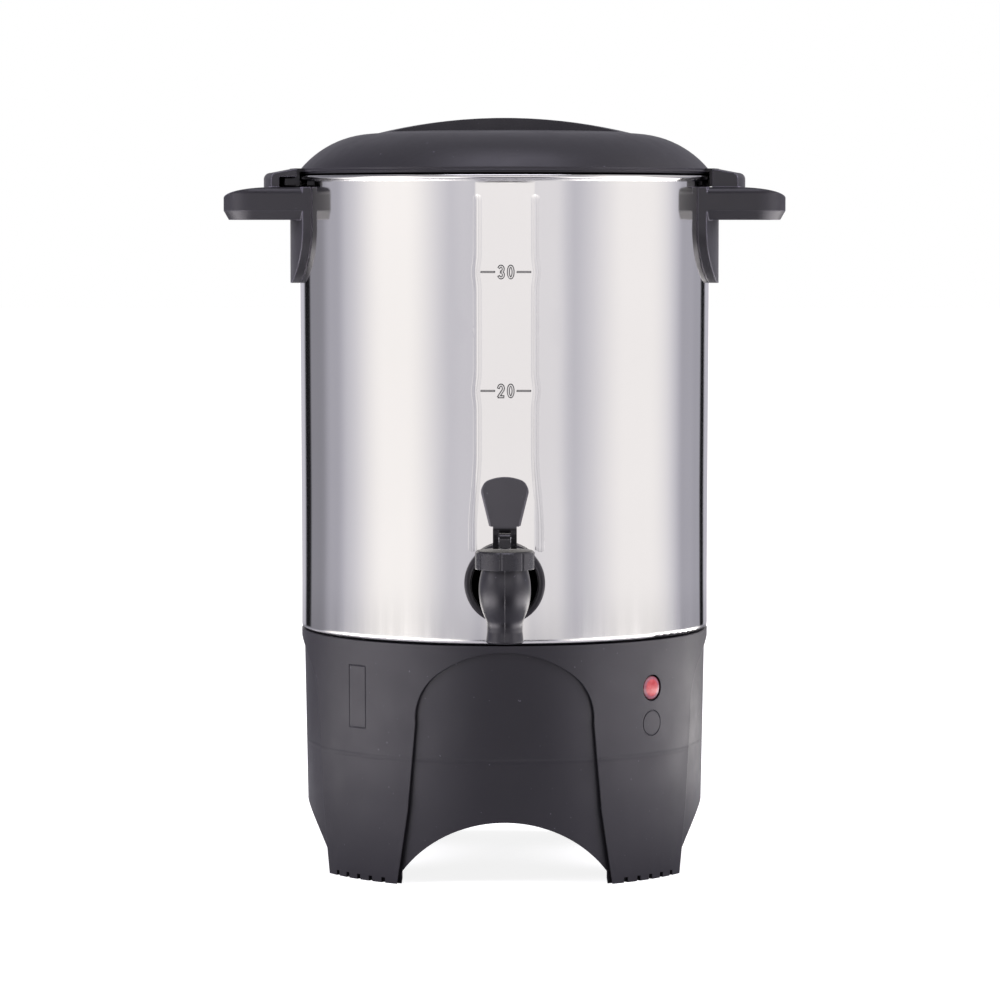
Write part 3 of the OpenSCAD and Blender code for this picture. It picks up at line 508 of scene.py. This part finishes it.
def line_verts(node, points, closed, section, rounded):
    """The section's points across the line at each of its points, seated on the node. The ends
    of a plain line slope as its sides do, and those of a rounded one sink in."""
    across = [(-u, h) for u, h in section] + [(u, h) for u, h in reversed(section)]
    crest_half = section[-1][0]
    last = len(points) - 1
    verts = []
    for i, (x, z) in enumerate(points):
        before = points[i - 1] if closed or i > 0 else points[0]
        after = points[(i + 1) % len(points)] if closed or i < last else points[-1]
        length = math.dist(before, after)
        way = ((after[0] - before[0]) / length, (after[1] - before[1]) / length)
        end = 0 if closed else (i == last) - (i == 0)
        sunk = 1 - min(1, i / FADE_POINTS, (last - i) / FADE_POINTS) if rounded else 0
        for u, rise in across:
            height = rise + (SUNK - rise) * sunk
            slope = 0 if rounded else end * (abs(u) - crest_half)
            px = (x - way[1] * u + way[0] * slope) * MM
            pz = (z + way[0] * u + way[1] * slope) * MM
            verts.append((px, front_y(node, px, pz) - height * MM, pz))
    return verts


def stroke(name, node, lines, body, section, looks, rounded=False):
    """Ridges seated on the front of a node. lines are (x, z) points in mm, and a line that
    ends where it starts is closed. section is (half width, height) pairs in mm, foot to crest,
    and looks are the materials of its strips, crest to foot. A rounded one is shaded smooth and
    sinks into the wall at its ends."""
    verts, faces, strips = [], [], []
    count = 2 * len(section)
    crest = len(section) - 1
    for line in lines:
        closed = math.dist(line[0], line[-1]) < SAME_POINT
        points = line[:-1] if closed else line
        total = len(points)
        start = len(verts)
        verts += line_verts(node, points, closed, section, rounded)
        for i in range(total if closed else total - 1):
            a, b = start + i * count, start + (i + 1) % total * count
            for k in range(count):
                n = (k + 1) % count
                faces.append((a + k, b + k, b + n, a + n))
                strips.append(abs(k - crest))
        if not closed:
            first = list(range(start, start + count))
            faces += [first, [v + (total - 1) * count for v in reversed(first)]]
            strips += [crest, crest]
    piece = mesh_object(name, verts, faces, looks)
    mesh = bmesh.new()
    mesh.from_mesh(piece.data)
    bmesh.ops.recalc_face_normals(mesh, faces=mesh.faces)
    mesh.to_mesh(piece.data)
    mesh.free()
    for face, strip in zip(piece.data.polygons, strips):
        face.material_index = min(strip, len(looks) - 1)
        face.use_smooth = rounded and strip < len(section) and len(face.vertices) == 4
    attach(piece, body)
    return piece


def arc(cx, cz, rx, rz, start, end, steps=16):
    """Points on an ellipse about (cx, cz), from one angle to another in degrees."""
    turns = [math.radians(start + (end - start) * i / steps) for i in range(steps + 1)]
    return [(cx + rx * math.cos(t), cz + rz * math.sin(t)) for t in turns]


MARK_X = 0.5
MARK_ZS = {"30": 275.6, "20": 222.9}
DIGIT_HALF = 1.05
DIGIT_RISE = 2.6
DIGIT_PLACES = (-2.15, 2.15)
DIGIT_SECTION = [(0.72, -0.1), (0.66, 0.06), (0.2, 0.3)]
DASH_START = 5.1
DASH_STEP = 1.45
DASH_POINTS = 5
DASH_SECTION = [(0.5, -0.1), (0.42, 0.1), (0.08, 0.28)]


def digit_lines(digit):
    """The lines of a 0, a 2 or a 3 about its middle."""
    w, h = DIGIT_HALF, DIGIT_RISE
    if digit == "0":
        ring = arc(0, 0, w, h, 0, 360, steps=28)
        return [ring[:-1] + ring[:1]]
    if digit == "2":
        return [arc(0, h * 0.42, w, h * 0.58, 170, -30) + [(-w, -h)], [(-w, -h), (w, -h)]]
    return [arc(0, h * 0.5, w * 0.92, h * 0.5, 150, -90), arc(0, -h * 0.5, w, h * 0.5, 90, -150)]


def make_fill_marks():
    """The number of cups with a dash on each side, at both heights."""
    for label, z in MARK_ZS.items():
        digits = []
        for place, digit in zip(DIGIT_PLACES, label):
            for line in digit_lines(digit):
                digits.append([(MARK_X + place + x, z + up) for x, up in line])
        stroke(f"fill_number_{label}", "vessel", digits, "urn",
               DIGIT_SECTION, [PLAIN_STEEL, ETCHED])
        dashes = [[(MARK_X + side * (DASH_START + DASH_STEP * i), z) for i in range(DASH_POINTS)]
                  for side in (-1, 1)]
        stroke(f"fill_line_{label}", "vessel", dashes, "urn",
               DASH_SECTION, [PLAIN_STEEL, ETCHED])


BORDER_XS = {"left": -12.1, "right": 13.5}
BORDER_ZS = (148.0, 313.0)
BORDER_STEPS = 84
BORDER_SECTION = [(2.3, -0.02), (1.7, 0.01), (0.7, 0.05), (0.3, 0.06)]
SWERVE = 0.9
SWERVE_REACH = 4.5
SPREAD = 2.2
SPREAD_TOP = 196.0
SPREAD_LENGTH = 36.0


def border_x(name, z):
    """A border swerves round the fill marks and spreads towards the tap."""
    out = sum(SWERVE * math.exp(-((z - mark) / SWERVE_REACH) ** 2) for mark in MARK_ZS.values())
    out += SPREAD * smooth((SPREAD_TOP - z) / SPREAD_LENGTH)
    return BORDER_XS[name] + math.copysign(out, BORDER_XS[name])


def make_panel_borders():
    """Soft pressed ridges along both edges of the flat panel."""
    foot, top = BORDER_ZS
    zs = [foot + (top - foot) * i / BORDER_STEPS for i in range(BORDER_STEPS + 1)]
    # The ridges' flanks are steel painted darker, as painted shade on them.
    for name in BORDER_XS:
        stroke(f"panel_border_{name}", "vessel", [[(border_x(name, z), z) for z in zs]], "urn",
               BORDER_SECTION, [PLAIN_STEEL, INNER_FLANK_SHADE, OUTER_FLANK_SHADE, PLAIN_STEEL],
               rounded=True)


SEAM_MARGIN = 0.3 * MM
SEAM_STEPS = 40
SEAM_SECTION = [(0.25, -0.15), (0.16, 0.05), (0.05, 0.09)]


def make_tap_seam():
    """The mould's parting line on the front of the barrel and the spout, up to the bonnet."""
    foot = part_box("tap_body")[0][2] + SEAM_MARGIN
    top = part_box("tap_bonnet")[0][2] - SEAM_MARGIN
    line = [(0.0, (foot + (top - foot) * i / SEAM_STEPS) / MM) for i in range(SEAM_STEPS + 1)]
    seam = stroke("tap_seam", "tap_body", [line], "urn", SEAM_SECTION,
                  [LOOKS["tap_black"]])
    seam.visible_glossy = False


# ---- turned pieces: the rolled rim and the silicone seat cup ----
def lathe(name, outline, centre, materials, turns):
    """A closed outline of (radius, z) points in metres, turned about an upright axis. An
    outline that starts on the axis ends on it too."""
    verts, faces, rings = [], [], []
    for radius, z in outline:
        if radius < SAME_POINT:
            rings.append([len(verts)] * turns)
            verts.append((centre[0], centre[1], z))
            continue
        rings.append(list(range(len(verts), len(verts) + turns)))
        for i in range(turns):
            turn = math.tau * i / turns
            x, y = centre[0] + radius * math.cos(turn), centre[1] + radius * math.sin(turn)
            verts.append((x, y, z))
    if outline[0][0] > SAME_POINT:
        rings.append(rings[0])
    for low, high in zip(rings, rings[1:]):
        for i in range(turns):
            j = (i + 1) % turns
            faces.append(list(dict.fromkeys((low[i], low[j], high[j], high[i]))))
    return mesh_object(name, verts, faces, materials)


RIM_BEAD = 1.15 * MM
RIM_SKIN = 0.03 * MM
RIM_POINTS = 24
RIM_TURNS = 240


def make_rim():
    """The polished outer skin of the rolled rim."""
    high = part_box("vessel")[1]
    radius = RIM_BEAD + RIM_SKIN
    ring = arc(high[0] - RIM_BEAD, high[2] - RIM_BEAD, radius, radius, 0, 360, RIM_POINTS)
    rim = lathe("vessel_rim", ring[:-1], (0.0, 0.0), [RIM_STEEL], RIM_TURNS)
    rim.data.shade_smooth()
    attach(rim, "urn")


CUP_TURNS = 64
CUP_ROUNDING = 0.35 * MM
CUP_ROUNDING_STEPS = 3
CUP_LIP = 1.0 * MM
# Radii in mm of the lip that is clamped under the bonnet: its neck, its edge and its mouth.
CUP_NECK_R, CUP_LIP_R, CUP_MOUTH_R = 8.2, 10.2, 7.2
# Radii and heights over the foot in mm, up the outside and down the inside to the stem's socket.
CUP_OUTSIDE = [(0.0, 0.0), (4.8, 0.0), (6.9, 3.3), (6.9, 4.6), (6.3, 7.6), (6.6, 17.6)]
CUP_INSIDE = [(5.4, 17.6), (5.2, 8.6), (1.75, 8.6), (1.75, 5.05), (3.05, 5.05), (3.05, 2.75),
              (0.0, 2.75)]


def make_seat_cup():
    """A plug that closes the seat, in one piece with the thin cup that lets it move."""
    low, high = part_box("seat_cup")
    centre = ((low[0] + high[0]) / 2, (low[1] + high[1]) / 2)
    foot, top = low[2], high[2]
    lip = top - CUP_LIP
    outside, inside = ([(r, foot + z * MM) for r, z in side] for side in (CUP_OUTSIDE, CUP_INSIDE))
    clamped = [(CUP_NECK_R, lip), (CUP_LIP_R, lip), (CUP_LIP_R, top), (CUP_MOUTH_R, top)]
    outline = [(r * MM, z) for r, z in outside + clamped + inside]
    cup = lathe("seat_cup_soft", outline, centre, [LOOKS["silicone"]], CUP_TURNS)
    rounding = cup.modifiers.new("rounding", "BEVEL")
    rounding.width = CUP_ROUNDING
    rounding.segments = CUP_ROUNDING_STEPS
    rounding.limit_method = "ANGLE"
    cup.visible_glossy = False
    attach(cup, "urn")
    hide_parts("seat_cup")
    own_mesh(cup)


# ---- studio: white floor, softboxes on both sides and a ring of cards that the steel shows ----
# Lengths are in metres here, and azimuths in degrees from the camera, positive to the right.
WALL_STEPS = 360
WALL_RADIUS = 2.6
WALL_HEIGHT = 2.4
CEILING_RADIUS = 1.4
CEILING_HEIGHT = 2.9
CARD_LIFT = 0.0015
CARD_TOP = 0.45
CARD_FADE = 0.05
MIDDLE_TOP = 1.0
UPPER_FOOT = 1.2
REAR_FROM = 95.0
REAR_FADE = 25.0
COOL = (0.965, 0.945, 1.07)
WARM = (1.01, 0.975, 0.955)
# The steel gives back this share of the light, so the low ring is that much brighter than the
# levels of its cards, which are as seen in the vessel. Its near edge is dimmed by EDGE_LEVEL.
STEEL_SHARE = 0.715
EDGE_LEVEL = 0.82
# Each card: its azimuth, half its width, the width of its soft edge, and its brightness.
# The low ring runs from 1.05 m out on the floor to the top of the cards: the vessel mirrors it.
LOW_CARDS = [(-62, 6, 34, 0.90), (78, 8, 36, 0.84), (3, 4, 14, 0.81), (24, 3, 12, 0.70),
             (180, 12, 7, 1.0), (-157, 4, 4, 0.46), (157, 4, 5, 0.42), (-132, 6, 18, 0.23),
             (-109, 2, 10, 0.37), (-22, 2, 8, 0.57), (123, 3, 8, 0.36),
             (-144, 4, 3, 0.01), (146, 3.2, 2, 0.01)]
# The near cards lie on the floor out to 0.66 m and fade into the low ring: the base and the tap
# mirror them. They are brighter by NEAREST_GAIN at their inner edge.
NEAR_CARDS = [(-66, 14, 42, 4.4), (88, 30, 36, 4.3), (4, 12, 14, 0.04)]
NEAREST_GAIN = 1.9
# The middle cards are mirrored by the tap's paddle, the upper ones by the lid.
MIDDLE_CARDS = [(3, 20, 30, 2.1), (-66, 8, 18, 3.4), (66, 8, 18, 3.4)]
UPPER_CARDS = [(3, 12, 50, 0.2), (95, 22, 30, 1.0), (-100, 25, 35, 0.2)]
# What the wall shows: cards, the level between them in front and behind.
NEAR = (NEAR_CARDS, 0.25, 0.25)
LOW = (LOW_CARDS, 0.50, 0.33)
MIDDLE = (MIDDLE_CARDS, 0.55, 0.45)
UPPER = (UPPER_CARDS, 0.55, 0.45)
CEILING = ([], 0.9, 0.6)
# Each row of the wall: radius, height, what it shows, and what its levels are divided by.
WALL_ROWS = [
    (0.35, CARD_LIFT, NEAR, 1.0 / NEAREST_GAIN),
    (0.66, CARD_LIFT, NEAR, 1.0),
    (1.05, CARD_LIFT, LOW, STEEL_SHARE / EDGE_LEVEL),
    (1.50, CARD_LIFT, LOW, STEEL_SHARE),
    (WALL_RADIUS, CARD_LIFT, LOW, STEEL_SHARE),
    (WALL_RADIUS, CARD_TOP, LOW, STEEL_SHARE),
    (WALL_RADIUS, CARD_TOP + CARD_FADE, MIDDLE, 1.0),
    (WALL_RADIUS, MIDDLE_TOP, MIDDLE, 1.0),
    (WALL_RADIUS, UPPER_FOOT, UPPER, 1.0),
    (WALL_RADIUS, WALL_HEIGHT, UPPER, 1.0),
    (CEILING_RADIUS, CEILING_HEIGHT, CEILING, 1.0),
]


def card_level(azimuth, cards, front, rear):
    """The level at an azimuth, where soft cards stand before a plain front and rear."""
    level =front + (rear - front) * smooth((abs(azimuth) - REAR_FROM) / REAR_FADE)
    for centre, half, edge, brightness in cards:
        off = abs((azimuth - centre + 180) % 360 - 180)
        level += (brightness - level) * smooth(1.0 - (off - half) / edge)
    return level


def tinted(level, share):
    """Cool up to a level of 0.29 and warm from a level of 1 on."""
    warmth = smooth(1.4 * level - 0.4)
    return tuple(level / share * (c + (w - c) * warmth) for c, w in zip(COOL, WARM)) + (1.0,)


def wall_look():
    """Glows in the colour that the wall's level attribute holds."""
    material, tree, shader = new_material("studio_wall_look")
    tree.nodes.remove(shader)
    glow = add(tree, "ShaderNodeEmission")
    level = add(tree, "ShaderNodeAttribute", attribute_name="level")
    tree.links.new(level.outputs["Color"], glow.inputs["Color"])
    tree.links.new(glow.outputs["Emission"], tree.nodes["Material Output"].inputs["Surface"])
    return material


def make_wall():
    """Cards near the urn, the low ring round them and a dimmer wall above, for mirrors only."""
    verts, faces, colours = [], [], []
    for radius, z, shown, share in WALL_ROWS:
        for i in range(WALL_STEPS):
            azimuth = -180 + 360.0 * i / WALL_STEPS
            turn = math.radians(azimuth)
            verts.append((math.sin(turn) * radius, -math.cos(turn) * radius, z))
            colours.append(tinted(card_level(azimuth, *shown), share))
    for row in range(len(WALL_ROWS) - 1):
        for i in range(WALL_STEPS):
            j = (i + 1) % WALL_STEPS
            a, b = row * WALL_STEPS, (row + 1) * WALL_STEPS
            faces.append((a + i, a + j, b + j, b + i))
    wall = mesh_object("studio_wall", verts, faces, [wall_look()])
    attribute = wall.data.color_attributes.new("level", "FLOAT_COLOR", "POINT")
    for place, colour in zip(attribute.data, colours):
        place.color = colour
    wall.visible_camera = False
    wall.visible_diffuse = False
    wall.visible_shadow = False


FLOOR_REACH = 12.0
FLOOR_INPUTS = {"Base Color": (0.42, 0.42, 0.42, 1.0), "Roughness": 0.9, "Specular IOR Level": 0.0}
# The floor's glow rises over this stretch, measured from the urn.
FLOOR_FADE = {"From Min": 0.3, "From Max": 1.3, "To Min": 0.87, "To Max": 1.0}


def floor_look():
    """White to the camera, with the urn's own soft shadow, and whiter still towards the horizon."""
    material, tree, shader = new_material("studio_floor_look")
    for field, value in FLOOR_INPUTS.items():
        shader.inputs[field].default_value = value
    fade = add(tree, "ShaderNodeMapRange", interpolation_type="SMOOTHSTEP")
    for field, value in FLOOR_FADE.items():
        fade.inputs[field].default_value = value
    tree.links.new(length_of(tree, object_place(tree)), fade.inputs["Value"])
    path = add(tree, "ShaderNodeLightPath")
    strength = calculated(tree, "MULTIPLY", path.outputs["Is Camera Ray"], fade.outputs["Result"])
    glow = add(tree, "ShaderNodeEmission")
    glow.inputs["Color"].default_value = WHITE
    tree.links.new(strength, glow.inputs["Strength"])
    both = add(tree, "ShaderNodeAddShader")
    tree.links.new(shader.outputs["BSDF"], both.inputs[0])
    tree.links.new(glow.outputs["Emission"], both.inputs[1])
    tree.links.new(both.outputs["Shader"], tree.nodes["Material Output"].inputs["Surface"])
    return material


def make_floor():
    corners = [(-1, -1), (1, -1), (1, 1), (-1, 1)]
    verts = [(x * FLOOR_REACH, y * FLOOR_REACH, 0.0) for x, y in corners]
    mesh_object("studio_floor", verts, [(0, 1, 2, 3)], [floor_look()])


WORLD_LEVEL = 0.25


def make_world():
    """White behind the urn, and a dim light all round it."""
    world = bpy.data.worlds.new("studio_world")
    bpy.context.scene.world = world
    world.use_nodes = True
    tree = world.node_tree
    background = tree.nodes["Background"]
    background.inputs["Color"].default_value = WHITE
    path = add(tree, "ShaderNodeLightPath")
    level = add(tree, "ShaderNodeMapRange")
    level.inputs["To Min"].default_value = WORLD_LEVEL
    level.inputs["To Max"].default_value = 1.0
    tree.links.new(path.outputs["Is Camera Ray"], level.inputs["Value"])
    tree.links.new(level.outputs["Result"], background.inputs["Strength"])


# Each lamp: azimuth from the camera, distance, height, width, height of its face, watts.
LAMPS = {"softbox_left": (-74, 1.7, 0.76, 0.9, 0.56, 56.0),
         "softbox_right": (80, 1.7, 0.76, 0.9, 0.56, 54.0),
         "softbox_top": (0, 0.25, 2.1, 1.2, 1.0, 10.0)}
LAMP_COLOUR = (0.985, 0.95, 1.06)
AIM = Vector((0.0, 0.0, 0.12))


def make_lights():
    """Softboxes on both sides and above. In mirrors the cards stand for the side ones."""
    for name, (azimuth, distance, height, width, tall, watts) in LAMPS.items():
        data = bpy.data.lights.new(name, "AREA")
        data.shape = "RECTANGLE"
        data.size = width
        data.size_y = tall
        data.energy = watts
        data.color = LAMP_COLOUR
        light = bpy.data.objects.new(name, data)
        bpy.context.collection.objects.link(light)
        turn = math.radians(azimuth)
        light.location = (math.sin(turn) * distance, -math.cos(turn) * distance, height)
        light.rotation_euler = (AIM - light.location).to_track_quat("-Z", "Y").to_euler()
        light.visible_camera = False
        light.visible_glossy = name == "softbox_top"


make_camera()
dress_frame()
make_fill_marks()
make_panel_borders()
make_tap_seam()
make_rim()
make_seat_cup()
make_floor()
make_wall()
make_world()
make_lights()
bpy.context.scene.view_settings.view_transform = "Standard"
